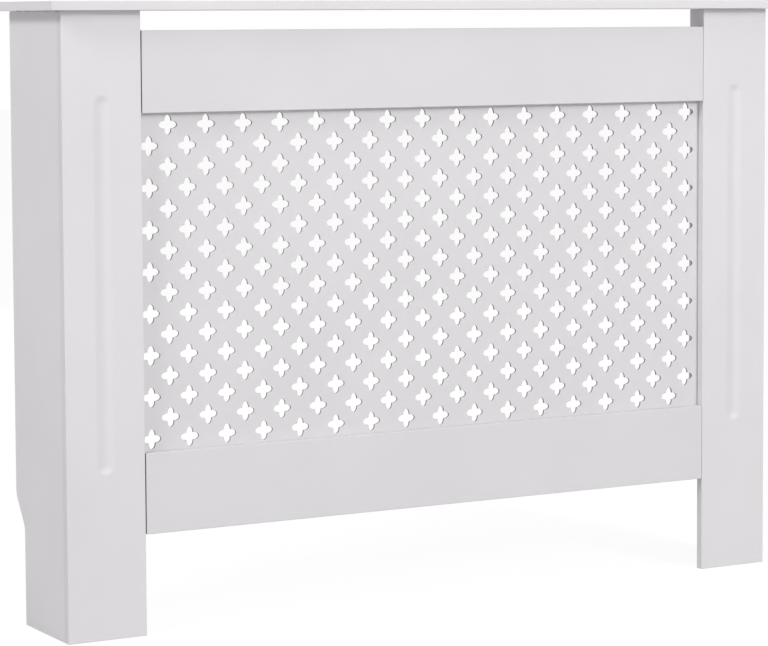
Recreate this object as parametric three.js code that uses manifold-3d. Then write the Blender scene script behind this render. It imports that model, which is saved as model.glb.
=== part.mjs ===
// Radiator cover cabinet, in millimetres, +Z up.
// A glued front frame (two fluted stiles, two rails and a perforated panel behind them) stands in front of
// two side panels, and a flat top lies over both. Cam locks and dowels hold the boards together.
// Origin: on the floor, in the middle of the top's outline. -Y is the front, +Y is the wall.
import * as THREE from 'three';
import { mergeVertices } from 'three/addons/utils/BufferGeometryUtils.js';
import Module from 'manifold-3d';

const wasm = await Module();
wasm.setup();

// ---- Driving dimensions ----

// Overall
const overallHeight = 806;
const topLength = 1120;
const topDepth = 188;
const topThickness = 12;
const topOverhang = 20; // at the front and at both ends; the rear edges are flush

// Boards
const sideThickness = 12;
const frameThickness = 12; // stiles and rails alike
const stileWidth = 108;
const upperRailHeight = 104;
const lowerRailHeight = 104;
const ventGap = 25; // slot between the upper rail and the top
const floorGap = 130; // under the lower rail
const arris = 0.8; // softened edge of every board

// Clearances
const seatGap = 0.3; // between two faces that seat on each other
const railEndGap = 0.8; // open joint line at each end of a rail
const runningGap = 0.3; // round a pin in its bore, and round the cam's moving surfaces

// Skirting notch in the lower rear corner of each side
const notchDepth = 28;
const notchHeight = 128; // upright part
const notchSlope = 40; // height of the slanted part above it
const notchFillet = 8; // where the upright part turns into the slant

// Flute in each stile
const fluteWidth = 26;
const fluteDepth = 2.5;
const fluteWall = 8; // width of the sloped wall, all round
const fluteEndMargin = 25; // how far it runs past the opening at each end

// Grille
const grilleThickness = 3;
const grilleLap = 18; // plain border behind the stiles and the rails
const holePitch = 53.34; // between neighbours in a row; rows are staggered by half of it
const holeReach = 12.6; // from a hole's centre to the tip of a lobe
const holeCorner = 5.2; // from a hole's centre, along X and along Y, to the corner between two lobes
const holeBorder = 2; // least plain strip between the holes and the frame
const fieldShift = -3; // the perforation sits this far off centre along X

// Dowels
const dowelRadius = 3;
const dowelLength = 30;
const dowelChamfer = 0.8;
const railDowelInset = 30; // from a rail's long edges
const sideDowelBite = 8; // how deep a side's dowel goes into the stile or the top
const sideDowelInset = 18; // from the ends of the side panel's edges

// Cam locks and their bolts
const camRadius = 6;
const camSetback = 24; // from the board's edge to the cam's axis
const camInset = 46; // from the ends of the side panel's edges
const camCavityRadius = 4.3;
const camFloor = 0.7; // under the cavity
const driverSlotLength = 7;
const driverSlotWidth = 1.4;
const driverSlotDepth = 1.5;
const headRadius = 2.4;
const neckRadius = 1.5;
const shankRadius = 2.2;
const collarRadius = 3;
const collarHeight = 1.2;
const threadRadius = 2.4;
const threadLength = 8.5;
const frameCamLowZ = 150; // heights of the lower lock and dowel between a side and its stile
const frameDowelLowZ = 80;
const frameCamDrop = 154; // from the stile's top down to its upper lock and dowel
const frameDowelDrop = 94;

// Screws
const screwRadius = 1.45;
const screwTip = 1.5;
const screwHeadRadius = 3.2;
const screwHeadHeight = 2;
const screwClearance = 0.35;
const grilleScrewLength = 9.5;
const bracketScrewLength = 10;
const screwsPerRail = 4;
const railScrewInset = 90; // from the stiles' inner edges to a rail's first screw

// Wall brackets
const bracketThickness = 2;
const bracketSideLeg = 36;
const bracketWallLeg = 26;
const bracketHeight = 30;
const bracketDrop = 70; // from the side's top edge to the bracket's top
const bracketSlotWidth = 5;
const bracketSlotLength = 12;
const bracketHoleInset = 8; // from the ends of the side leg

// Facets round a circle
const pinSides = 6;
const camSides = 12;
const cavitySides = 8;

// ---- Planes that the boards share ----

const rearY = topDepth / 2;
const frontY = -topDepth / 2 + topOverhang; // face of the stiles and the rails
const frameBackY = frontY + frameThickness;
const sideFrontY = frameBackY + seatGap;
const sideOuterX = topLength / 2 - topOverhang;
const sideInnerX = sideOuterX - sideThickness;
const stileInnerX = sideOuterX - stileWidth;
const topUndersideZ = overallHeight - topThickness;
const bodyTopZ = topUndersideZ - seatGap;
const frameCamHighZ = bodyTopZ - frameCamDrop;
const frameDowelHighZ = bodyTopZ - frameDowelDrop;
const upperRailTopZ = topUndersideZ - ventGap;
const upperRailBottomZ = upperRailTopZ - upperRailHeight;
const lowerRailTopZ = floorGap + lowerRailHeight;
const openingMiddleZ = (upperRailBottomZ + lowerRailTopZ) / 2;
const grilleFrontY = frameBackY + seatGap;
const grilleBackY = grilleFrontY + grilleThickness;
const sideMiddleX = (sideOuterX + sideInnerX) / 2;

// ---- Directions ----

const X = new THREE.Vector3(1, 0, 0);
const Y = new THREE.Vector3(0, 1, 0);
const Z = new THREE.Vector3(0, 0, 1);
const ORIGIN = new THREE.Vector3();

const reverse = (direction) => direction.clone().negate();

// Places a geometry: its own X runs along `right` and its own Z along `out`.
function orient(geometry, right, out, place = ORIGIN) {
  const up = out.clone().cross(right);
  const basis = new THREE.Matrix4().makeBasis(right, up, out).setPosition(place);
  return geometry.applyMatrix4(basis);
}

// ---- Solids and booleans ----

// Merges shared vertices and drops the triangles that collapse on an axis.
function weld(geometry) {
  geometry.deleteAttribute('normal');
  geometry.deleteAttribute('uv');
  const merged = mergeVertices(geometry);
  const corners = merged.index.array;
  const kept = [];
  for (let i = 0; i < corners.length; i += 3) {
    const [a, b, c] = corners.slice(i, i + 3);
    if (a !== b && b !== c && c !== a) kept.push(a, b, c);
  }
  merged.setIndex(kept);
  return merged;
}

function solid(geometry) {
  const welded = weld(geometry);
  return new wasm.Manifold(
    new wasm.Mesh({
      numProp: 3,
      vertProperties: new Float32Array(welded.attributes.position.array),
      triVerts: new Uint32Array(welded.index.array),
    }),
  );
}

function surface(body) {
  const { vertProperties, triVerts } = body.getMesh();
  const geometry = new THREE.BufferGeometry();
  geometry.setAttribute('position', new THREE.BufferAttribute(new Float32Array(vertProperties), 3));
  geometry.setIndex(new THREE.BufferAttribute(new Uint32Array(triVerts), 1));
  return geometry;
}

// Cuts each tool out of a board.
function cut(board, tools) {
  return surface(tools.reduce((body, tool) => body.subtract(solid(tool)), solid(board)));
}

// ---- Basic shapes ----

function polygon(points) {
  return new THREE.Shape(points.map(([x, y]) => new THREE.Vector2(x, y)));
}

// A rectangle whose four corners are taken off by the arris.
function boardOutline(left, bottom, right, top) {
  return polygon([
    [left + arris, bottom],
    [right - arris, bottom],
    [right, bottom + arris],
    [right, top - arris],
    [right - arris, top],
    [left + arris, top],
    [left, top - arris],
    [left, bottom + arris],
  ]);
}

// A board of the given outline and thickness from Z = 0 up, softened along both faces.
function board(outline, thickness, curveSegments = 3) {
  const geometry = new THREE.ExtrudeGeometry(outline, {
    depth: thickness - 2 * arris,
    bevelThickness: arris,
    bevelSize: arris,
    bevelOffset: -arris,
    bevelSegments: 1,
    curveSegments,
  });
  return geometry.translate(0, 0, arris);
}

// A solid of revolution about +Z. The profile's points are [radius, height], from the bottom up.
function revolve(profile, sides) {
  const points = profile.map(([radius, height]) => new THREE.Vector2(radius, height));
  return orient(new THREE.LatheGeometry(points, sides), X, reverse(Y));
}

// A cutter for a round hole, from Z = 0 to Z = length: its flats, not its corners, lie on the radius.
function bore(radius, length, sides = pinSides) {
  const corner = radius / Math.cos(Math.PI / sides);
  return revolve([[0, 0], [corner, 0], [corner, length], [0, length]], sides);
}

function sideways(direction) {
  return direction.z === 0 ? Z : X;
}

// A blind bore that enters at `mouth` and runs along `direction`. It starts a little outside the face.
function blindBore(mouth, direction, radius, depth, sides = pinSides) {
  const overcut = seatGap;
  const start = mouth.clone().addScaledVector(direction, -overcut);
  return orient(bore(radius, depth + overcut, sides), sideways(direction), direction, start);
}

function at(x, y, z) {
  return new THREE.Vector3(x, y, z);
}

// ---- Materials ----

const paint = { color: 0xe4e3e8, roughness: 0.55, metalness: 0 };
const beech = { color: 0xc9a878, roughness: 0.7, metalness: 0 };
const zinc = { color: 0xb9bcc0, roughness: 0.4, metalness: 1 };
const dieCast = { color: 0x9a9ca0, roughness: 0.5, metalness: 1 };

const cabinet = new THREE.Group();

function add(name, geometry, finish, parent = cabinet) {
  geometry.computeVertexNormals();
  const mesh = new THREE.Mesh(geometry, new THREE.MeshStandardMaterial(finish));
  mesh.name = name;
  parent.add(mesh);
  return mesh;
}

// ---- Where the joints between the boards lie ----

// Each side panel has two dowels and two cam locks along its top edge, and the same along its front edge.
// A seat is a point on the panel's edge, in the middle of its thickness; `outward` leaves the panel there.
function edgeSeats(sign) {
  const x = sign * sideMiddleX;
  const top = (y) => ({ edge: at(x, y, bodyTopZ), outward: Z });
  const front = (z) => ({ edge: at(x, sideFrontY, z), outward: reverse(Y) });
  return {
    dowels: {
      top_front: top(sideFrontY + sideDowelInset),
      top_rear: top(rearY - sideDowelInset),
      stile_upper: front(frameDowelHighZ),
      stile_lower: front(frameDowelLowZ),
    },
    cams: {
      top_front: top(sideFrontY + camInset),
      top_rear: top(rearY - camInset),
      stile_upper: front(frameCamHighZ),
      stile_lower: front(frameCamLowZ),
    },
  };
}

const sides = { left: -1, right: 1 };
const seats = { left: edgeSeats(-1), right: edgeSeats(1) };

// Heights of the two dowels in each end of a rail
function railDowelHeights(bottomZ, topZ) {
  return { low: bottomZ + railDowelInset, high: topZ - railDowelInset };
}

const rails = {
  upper: { bottomZ: upperRailBottomZ, topZ: upperRailTopZ },
  lower: { bottomZ: floorGap, topZ: lowerRailTopZ },
};

// The screws that hold the grille, as points on the back of the frame
function grilleScrewSeats() {
  const lap = grilleLap / 2;
  const firstX = stileInnerX - railScrewInset;
  const step = (2 * firstX) / (screwsPerRail - 1);
  const found = {};
  for (let i = 0; i < screwsPerRail; i += 1) {
    const x = -firstX + i * step;
    found[`top_${i + 1}`] = at(x, frameBackY, upperRailBottomZ + lap);
    found[`bottom_${i + 1}`] = at(x, frameBackY, lowerRailTopZ - lap);
  }
  found.left = at(-stileInnerX - lap, frameBackY, openingMiddleZ);
  found.right = at(stileInnerX + lap, frameBackY, openingMiddleZ);
  return found;
}

const grilleScrews = grilleScrewSeats();
const grilleScrewBite = grilleScrewLength - grilleThickness - 2 * seatGap;

// Pilot holes of those screws that fall within a board of the frame
function grillePilots(left, right, bottomZ, topZ) {
  return Object.values(grilleScrews)
    .filter(({ x, z }) => x > left && x < right && z > bottomZ && z < topZ)
    .map((seat) => blindBore(seat, reverse(Y), screwRadius + runningGap, grilleScrewBite + screwTip));
}

// ---- Top ----

function topPanel() {
  const halfLength = topLength / 2;
  const slab = board(boardOutline(-halfLength, -rearY, halfLength, rearY), topThickness);
  slab.translate(0, 0, topUndersideZ);
  const cuts = [];
  for (const side of Object.keys(sides)) {
    const { dowels, cams } = seats[side];
    for (const seat of [dowels.top_front, dowels.top_rear]) {
      const mouth = at(seat.edge.x, seat.edge.y, topUndersideZ);
      cuts.push(blindBore(mouth, Z, dowelRadius + runningGap, sideDowelBite + runningGap));
    }
    for (const seat of [cams.top_front, cams.top_rear]) {
      const mouth = at(seat.edge.x, seat.edge.y, topUndersideZ);
      cuts.push(blindBore(mouth, Z, threadRadius + runningGap, threadLength + runningGap));
    }
  }
  return cut(slab, cuts);
}

// ---- Sides ----

// Outline in (Y, Z), with the notch for the skirting board in the lower rear corner
function sideOutline() {
  const notchY = rearY - notchDepth;
  const slopeTopZ = notchHeight + notchSlope;
  const slopeLength = Math.hypot(notchDepth, notchSlope);
  const alongY = (notchDepth / slopeLength) * notchFillet;
  const alongZ = (notchSlope / slopeLength) * notchFillet;
  const outline = new THREE.Shape();
  outline.moveTo(sideFrontY, 0);
  outline.lineTo(notchY, 0);
  outline.lineTo(notchY, notchHeight - notchFillet);
  outline.quadraticCurveTo(notchY, notchHeight, notchY + alongY, notchHeight + alongZ);
  outline.lineTo(rearY - alongY, slopeTopZ - alongZ);
  outline.quadraticCurveTo(rearY, slopeTopZ, rearY, slopeTopZ + notchFillet);
  outline.lineTo(rearY, bodyTopZ);
  outline.lineTo(sideFrontY, bodyTopZ);
  outline.closePath();
  return outline;
}

const boltAxisDepth = sideThickness / 2; // from the side's inner face
const camCavityHalf = headRadius + runningGap;
const camHeight = boltAxisDepth + camCavityHalf + camFloor;

function camAxisPoint(sign, seat) {
  const point = seat.edge.clone().addScaledVector(seat.outward, -camSetback);
  point.x = sign * sideInnerX;
  return point;
}

function sidePanel(side) {
  const sign = sides[side];
  const inward = at(-sign, 0, 0);
  const slab = orient(board(sideOutline(), sideThickness), Y, X);
  slab.translate(sign * sideMiddleX - sideThickness / 2, 0, 0);
  const cuts = [];
  for (const seat of Object.values(seats[side].dowels)) {
    const depth = dowelLength - sideDowelBite + runningGap;
    cuts.push(blindBore(seat.edge, reverse(seat.outward), dowelRadius + runningGap, depth));
  }
  for (const seat of Object.values(seats[side].cams)) {
    const centre = camAxisPoint(sign, seat);
    cuts.push(blindBore(seat.edge, reverse(seat.outward), collarRadius + runningGap, camSetback));
    cuts.push(blindBore(centre, reverse(inward), camRadius + runningGap, camHeight + seatGap, camSides));
  }
  for (const hole of bracketHoles(sign)) {
    const depth = bracketScrewLength - bracketThickness;
    cuts.push(blindBore(hole, reverse(inward), screwRadius + runningGap, depth));
  }
  return cut(slab, cuts);
}

// ---- Front frame ----

// A round-ended outline of the flute's floor, which the sloped walls widen on the way to the face
function fluteFloor(centreX, bottomZ, topZ) {
  const radius = fluteWidth / 2 - fluteWall;
  const bottom = bottomZ + fluteWall + radius;
  const top = topZ - fluteWall - radius;
  const outline = new THREE.Shape();
  outline.absarc(centreX, bottom, radius, Math.PI, 2 * Math.PI, false);
  outline.absarc(centreX, top, radius, 0, Math.PI, false);
  outline.closePath();
  return outline;
}

// Cutter for the flute: one sloped wall inside the board and its mirror image outside the face
function fluteCutter(centreX) {
  const bottomZ = lowerRailTopZ - fluteEndMargin;
  const topZ = upperRailBottomZ + fluteEndMargin;
  const geometry = new THREE.ExtrudeGeometry(fluteFloor(centreX, bottomZ, topZ), {
    depth: arris,
    bevelThickness: fluteDepth,
    bevelSize: fluteWall,
    bevelSegments: 1,
    curveSegments: 4,
  });
  return onFront(geometry, frontY);
}

// Turns a geometry drawn in (X, Z) so that its own Z runs forward from the plane at y.
function onFront(geometry, y) {
  return orient(geometry, X, reverse(Y), at(0, y, 0));
}

function frontStile(side) {
  const sign = sides[side];
  const innerX = sign * stileInnerX;
  const outerX = sign * sideOuterX;
  const left = Math.min(innerX, outerX);
  const right = Math.max(innerX, outerX);
  const slab = onFront(board(boardOutline(left, 0, right, bodyTopZ), frameThickness), frameBackY);
  const cuts = [fluteCutter((left + right) / 2), ...grillePilots(left, right, 0, bodyTopZ)];
  const { dowels, cams } = seats[side];
  for (const seat of [dowels.stile_upper, dowels.stile_lower]) {
    const mouth = at(seat.edge.x, frameBackY, seat.edge.z);
    cuts.push(blindBore(mouth, reverse(Y), dowelRadius + runningGap, sideDowelBite + runningGap));
  }
  for (const seat of [cams.stile_upper, cams.stile_lower]) {
    const mouth = at(seat.edge.x, frameBackY, seat.edge.z);
    cuts.push(blindBore(mouth, reverse(Y), threadRadius + runningGap, threadLength + runningGap));
  }
  for (const { bottomZ, topZ } of Object.values(rails)) {
    for (const z of Object.values(railDowelHeights(bottomZ, topZ))) {
      const mouth = at(innerX, frameBackY - frameThickness / 2, z);
      cuts.push(blindBore(mouth, at(sign, 0, 0), dowelRadius + runningGap, dowelLength / 2));
    }
  }
  return cut(slab, cuts);
}

function rail({ bottomZ, topZ }) {
  const end = stileInnerX - railEndGap;
  const slab = onFront(board(boardOutline(-end, bottomZ, end, topZ), frameThickness), frameBackY);
  const cuts = grillePilots(-end, end, bottomZ, topZ);
  for (const sign of Object.values(sides)) {
    for (const z of Object.values(railDowelHeights(bottomZ, topZ))) {
      const mouth = at(sign * end, frameBackY - frameThickness / 2, z);
      cuts.push(blindBore(mouth, at(-sign, 0, 0), dowelRadius + runningGap, dowelLength / 2));
    }
  }
  return cut(slab, cuts);
}

// ---- Grille ----

// Centres of the holes: as many staggered rows and columns as the opening takes
function holeCentres() {
  const step = holePitch / 2;
  const spare = 2 * (holeBorder + holeReach);
  const columns = Math.floor((2 * stileInnerX - spare) / step);
  const rows = Math.floor((upperRailBottomZ - lowerRailTopZ - spare) / step);
  const centres = [];
  for (let row = 0; row <= rows; row += 1) {
    for (let column = (row + 1) % 2; column <= columns; column += 2) {
      centres.push([fieldShift + (column - columns / 2) * step, openingMiddleZ - (row - rows / 2) * step]);
    }
  }
  return centres;
}

// A four-lobed hole: each lobe runs out to a tip, and the lobes meet in four inner corners.
function holePath([x, z]) {
  const eighth = Math.PI / 4;
  const corner = Math.hypot(holeCorner, holeCorner);
  const points = [];
  for (let i = 0; i < 8; i += 1) {
    const radius = i % 2 === 0 ? holeReach : corner;
    points.push([x + radius * Math.cos(i * eighth), z + radius * Math.sin(i * eighth)]);
  }
  return polygon(points);
}

function screwHolePath({ x, z }) {
  const outline = new THREE.Path();
  outline.absarc(x, z, screwRadius + screwClearance, 0, 2 * Math.PI, true);
  return outline;
}

function grillePanel() {
  const halfLength = stileInnerX + grilleLap;
  const outline = polygon([
    [-halfLength, lowerRailTopZ - grilleLap],
    [halfLength, lowerRailTopZ - grilleLap],
    [halfLength, upperRailBottomZ + grilleLap],
    [-halfLength, upperRailBottomZ + grilleLap],
  ]);
  outline.holes = [...holeCentres().map(holePath), ...Object.values(grilleScrews).map(screwHolePath)];
  const sheet = new THREE.ExtrudeGeometry(outline, {
    depth: grilleThickness,
    bevelEnabled: false,
    curveSegments: pinSides / 2,
  });
  return weld(onFront(sheet, grilleBackY));
}

// ---- Dowels ----

function dowel() {
  const tip = dowelRadius - dowelChamfer / 2;
  return weld(
    revolve(
      [
        [0, 0],
        [tip, 0],
        [dowelRadius, dowelChamfer],
        [dowelRadius, dowelLength - dowelChamfer],
        [tip, dowelLength],
        [0, dowelLength],
      ],
      pinSides,
    ),
  );
}

// A dowel that starts `bite` outside the mouth of its bore and runs along `direction`
function placedDowel(mouth, direction, bite) {
  const start = mouth.clone().addScaledVector(direction, -bite);
  return orient(dowel(), sideways(direction), direction, start);
}

// ---- Cam locks and bolts ----

// Each bolt is driven into the neighbouring board, and its head lies inside the cam, off the cam's axis.
const boltHeadOffset = camCavityRadius - headRadius - runningGap;

// Along +Z: thread below Z = 0 and, above it, collar, shank, neck and head
function camBolt() {
  const camAxis = camSetback + seatGap;
  const head = camAxis - boltHeadOffset;
  const neckStart = camAxis - camRadius - 2 * runningGap;
  const headFlank = headRadius * 0.42;
  return weld(
    revolve(
      [
        [0, -threadLength],
        [threadRadius, -threadLength + threadRadius / 2],
        [threadRadius, 0],
        [collarRadius, seatGap],
        [collarRadius, collarHeight],
        [shankRadius, collarHeight],
        [shankRadius, neckStart],
        [neckRadius, neckStart],
        [neckRadius, head - Math.sqrt(headRadius ** 2 - neckRadius ** 2)],
        [Math.sqrt(headRadius ** 2 - headFlank ** 2), head - headFlank],
        [Math.sqrt(headRadius ** 2 - headFlank ** 2), head + headFlank],
        [0, head + headRadius],
      ],
      pinSides,
    ),
  );
}

// A sector of a disc from Z = -half to Z = +half, between two angles
function sector(radius, from, to, half) {
  const outline = new THREE.Shape();
  outline.moveTo(0, 0);
  outline.absarc(0, 0, radius, from, to, false);
  outline.closePath();
  const geometry = new THREE.ExtrudeGeometry(outline, {
    depth: 2 * half,
    bevelEnabled: false,
    curveSegments: 3,
  });
  return geometry.translate(0, 0, -half);
}

// The cam's face is at Z = 0 and its body below. The locked bolt comes in along +X. The way in for the
// bolt's head is on the far side, and a slot for its neck joins the two, so half a turn frees the head.
function camLock() {
  const outer = revolve([[0, -camHeight], [camRadius, -camHeight], [camRadius, 0], [0, 0]], camSides);
  const axisZ = -boltAxisDepth;
  const cavity = bore(camCavityRadius, 2 * camCavityHalf, cavitySides);
  cavity.translate(0, 0, axisZ - camCavityHalf);
  const neckHalf = neckRadius + runningGap;
  const pastLock = Math.asin(neckHalf / camCavityRadius);
  const wallSlot = sector(camRadius * 1.2, -Math.PI, pastLock, neckHalf).translate(0, 0, axisZ);
  const entry = orient(bore(camCavityHalf, camRadius * 1.2), Z, reverse(X), at(0, 0, axisZ));
  const driver = [0, 1].map((turn) => {
    const size = [driverSlotLength, driverSlotWidth];
    const [x, y] = turn ? size : size.reverse();
    return new THREE.BoxGeometry(x, y, 2 * driverSlotDepth);
  });
  return cut(outer, [cavity, wallSlot, entry, ...driver]);
}

// ---- Screws ----

// A pan-head screw: the head's underside is at Z = 0 and the shank runs down.
function panScrew(length) {
  return weld(
    revolve(
      [
        [0, -length],
        [screwRadius, screwTip - length],
        [screwRadius, 0],
        [screwHeadRadius, 0],
        [screwHeadRadius, screwHeadHeight / 2],
        [screwHeadRadius * 0.6, screwHeadHeight],
        [0, screwHeadHeight],
      ],
      pinSides,
    ),
  );
}

// ---- Wall brackets ----

const bracketTopZ = bodyTopZ - bracketDrop;
const bracketMiddleZ = bracketTopZ - bracketHeight / 2;

// The two screws of a bracket, as points on the side's inner face
function bracketHoles(sign) {
  const x = sign * sideInnerX;
  const frontHoleY = rearY - bracketSideLeg + bracketHoleInset;
  const rearHoleY = rearY - bracketThickness - bracketHoleInset;
  return [frontHoleY, rearHoleY].map((y) => at(x, y, bracketMiddleZ));
}

// A steel angle: one leg on the side's inner face, the other in line with the rear edges
function wallBracket(sign) {
  const legX = sign * (sideInnerX - seatGap);
  const wallX = legX - sign * bracketWallLeg;
  const innerX = legX - sign * bracketThickness;
  const outline = [
    [legX, rearY],
    [wallX, rearY],
    [wallX, rearY - bracketThickness],
    [innerX, rearY - bracketThickness],
    [innerX, rearY - bracketSideLeg],
    [legX, rearY - bracketSideLeg],
  ];
  const angle = new THREE.ExtrudeGeometry(polygon(outline), { depth: bracketHeight, bevelEnabled: false });
  angle.translate(0, 0, bracketTopZ - bracketHeight);
  const cuts = bracketHoles(sign).map((hole) =>
    blindBore(hole, at(-sign, 0, 0), screwRadius + screwClearance, 2 * bracketThickness),
  );
  cuts.push(wallSlotCutter((wallX + innerX) / 2));
  return cut(angle, cuts);
}

// An upright round-ended slot through the wall leg
function wallSlotCutter(x) {
  const radius = bracketSlotWidth / 2;
  const reach = bracketSlotLength / 2 - radius;
  const outline = new THREE.Shape();
  outline.absarc(x, bracketMiddleZ - reach, radius, Math.PI, 2 * Math.PI, false);
  outline.absarc(x, bracketMiddleZ + reach, radius, 0, Math.PI, false);
  outline.closePath();
  const depth = 3 * bracketThickness;
  const geometry = new THREE.ExtrudeGeometry(outline, { depth, bevelEnabled: false, curveSegments: 2 });
  return onFront(geometry, rearY + bracketThickness);
}

// ---- Assembly ----

add('top_panel', topPanel(), paint);
add('upper_rail', rail(rails.upper), paint);
add('lower_rail', rail(rails.lower), paint);
add('grille_panel', grillePanel(), paint);

for (const [name, seat] of Object.entries(grilleScrews)) {
  const place = at(seat.x, grilleBackY + seatGap, seat.z);
  add(`grille_screw_${name}`, orient(panScrew(grilleScrewLength), X, Y, place), zinc);
}

for (const [side, sign] of Object.entries(sides)) {
  const inward = at(-sign, 0, 0);
  add(`side_panel_${side}`, sidePanel(side), paint);
  add(`front_stile_${side}`, frontStile(side), paint);

  for (const [name, { bottomZ, topZ }] of Object.entries(rails)) {
    for (const [level, z] of Object.entries(railDowelHeights(bottomZ, topZ))) {
      const mouth = at(sign * (stileInnerX - railEndGap / 2), frameBackY - frameThickness / 2, z);
      add(`rail_dowel_${name}_${side}_${level}`, placedDowel(mouth, at(sign, 0, 0), dowelLength / 2), beech);
    }
  }

  for (const [name, seat] of Object.entries(seats[side].dowels)) {
    const bite = sideDowelBite + seatGap;
    add(`side_dowel_${side}_${name}`, placedDowel(seat.edge, reverse(seat.outward), bite), beech);
  }

  for (const [name, seat] of Object.entries(seats[side].cams)) {
    const foot = seat.edge.clone().addScaledVector(seat.outward, seatGap);
    const bolt = orient(camBolt(), sideways(seat.outward), reverse(seat.outward), foot);
    add(`cam_bolt_${side}_${name}`, bolt, zinc);
    const lock = add(`cam_lock_${side}_${name}`, orient(camLock(), seat.outward, inward), dieCast);
    lock.position.copy(camAxisPoint(sign, seat));
  }

  add(`wall_bracket_${side}`, wallBracket(sign), zinc);
  bracketHoles(sign).forEach((hole, i) => {
    const place = hole.clone().addScaledVector(inward, bracketThickness + 2 * seatGap);
    const screw = orient(panScrew(bracketScrewLength), Z, inward, place);
    add(`bracket_screw_${side}_${i ? 'rear' : 'front'}`, screw, zinc);
  });
}

export default cabinet;
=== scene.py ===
"""Looks of a radiator cover cabinet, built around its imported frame.

Metres, +Z up, the front faces -Y.
"""
import math

import bmesh
import bpy
from mathutils import Matrix, Vector
from mathutils.geometry import delaunay_2d_cdt


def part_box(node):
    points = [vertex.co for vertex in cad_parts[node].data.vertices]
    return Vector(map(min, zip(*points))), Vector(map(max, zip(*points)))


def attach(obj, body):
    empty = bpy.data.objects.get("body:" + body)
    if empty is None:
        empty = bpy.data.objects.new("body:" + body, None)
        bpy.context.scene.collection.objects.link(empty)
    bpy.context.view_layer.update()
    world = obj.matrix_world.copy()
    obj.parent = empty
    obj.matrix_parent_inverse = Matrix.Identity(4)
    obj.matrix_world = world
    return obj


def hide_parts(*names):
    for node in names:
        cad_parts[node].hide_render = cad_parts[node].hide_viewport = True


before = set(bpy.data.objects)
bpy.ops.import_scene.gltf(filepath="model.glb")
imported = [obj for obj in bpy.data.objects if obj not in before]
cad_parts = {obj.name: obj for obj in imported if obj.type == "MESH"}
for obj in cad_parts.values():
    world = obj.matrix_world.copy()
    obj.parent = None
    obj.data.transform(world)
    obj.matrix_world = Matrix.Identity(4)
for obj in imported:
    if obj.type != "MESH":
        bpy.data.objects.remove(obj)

MM = 0.001
X, Y, Z = range(3)
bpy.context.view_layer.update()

# ---- Shapes that refine the frame's own ----

ARRIS = 1.0 * MM  # rounded edge of the boards
ARRIS_SEGMENTS = 3
ARRIS_ANGLE = 60  # degrees; edges at least this sharp are rounded
SMOOTH_ANGLE = 40  # degrees between two faces that still shade as one surface
FACE_COSINE = 0.5  # a face whose normal has more than this along an axis looks along it
END_COSINE = 0.9  # the same for a rail's end, without its rounded edges

RAIL_LEFT_GAP = 1.3 * MM  # open joint line between a rail and the left stile
RAIL_RIGHT_GAP = 0.3 * MM

NOTCH_DEPTH = 28 * MM  # skirting notch in the lower rear corner of each side
NOTCH_HEIGHT = 128 * MM
NOTCH_SLOPE = 40 * MM
NOTCH_FILLET = 8 * MM
FILLET_STEPS = 6

FLUTE_RADIUS = 13 * MM  # half the flute's width
FLUTE_DEPTH = 3.1 * MM
FLUTE_WALL = 13 * MM  # width of its curved wall, which reaches the flute's middle
FLUTE_MARGIN = 25 * MM  # how far it runs past the opening at each end
FLUTE_STEP = 1 * MM  # mesh step across the flute and round its ends

HOLE_HALF_PITCH = 26.67 * MM  # from one row or column of holes to the next
HOLE_COLUMNS = 32
HOLE_ROWS = 16
FIELD_SHIFT = -3 * MM  # the perforation sits this far off centre along X
LOBE_OFFSET = 5.0 * MM  # from a hole's centre to the middle of a lobe's half ellipse
LOBE_LENGTH = 7.7 * MM
LOBE_HALF_WIDTH = 4.75 * MM
LOBE_STEPS = 10
HOLE_ROUNDING = 0.3 * MM  # soft front edge of a hole
HOLE_ROUNDING_ANGLES = (0, 45, 90)  # degrees round that edge, from the face to the wall
TRIANGULATION_TOLERANCE = 1e-7
SCREW_HOLE_RADIUS = 1.8 * MM
SCREW_HOLE_SIDES = 16

DOWEL_BORE = 3.3 * MM  # radii of the bores
BOLT_SHANK_BORE = 3.3 * MM
BOLT_THREAD_BORE = 2.7 * MM
CAM_BORE = 6.3 * MM
PILOT_BORE = 1.5 * MM
BORE_END_GAP = 0.3 * MM  # room past each end of what goes in
BORE_SIDES = 32

CAM_CAVITY_RADIUS = 4.3 * MM
CAM_CAVITY_HALF = 2.7 * MM  # half its height
CAM_ENTRY_RADIUS = 2.6 * MM  # a little under that, so that the two cuts don't touch along a line
CAM_AXIS_DEPTH = 6 * MM  # from a cam's face to the axis of its bolt
CAM_NECK_HALF = 1.8 * MM
CAM_CUTTER_REACH = 1.2  # reach of its cutters over its radius
CAM_RIM = 0.35 * MM  # chamfer round its two ends
CAM_SIDES = 48
DRIVER_SLOT = (7 * MM, 1.4 * MM, 2.4 * MM)  # length, width and depth of each arm of the cross

SCREW_SHANK = 1.45 * MM  # radii of the threaded shank and the head
SCREW_HEAD = 3.2 * MM
SCREW_HEAD_HEIGHT = 2 * MM
SCREW_RIM = 0.35  # upright rim of a head over its height
SCREW_DOME_ANGLES = (0, 30, 55, 75)  # degrees up the head's dome, from the rim
SCREW_DOME_FULLNESS = 0.6  # 1 for a round dome, less for a flatter one with fuller shoulders
SCREW_TIP = 1.8 * MM
SCREW_POINT = 0.25  # radius halfway down the tip over the shank's radius
SCREW_RECESS = (3.4 * MM, 0.7 * MM, 1.2 * MM)  # as the slot of a cam
THREAD_PITCH = 0.9 * MM
THREAD_CORE = 0.72  # core radius over thread radius
THREAD_FOOT = 0.15  # flat before and after a ridge, over the pitch
THREAD_NECK = 0.5  # plain neck under the head, over the pitch
TURNED_SIDES = 32

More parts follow.
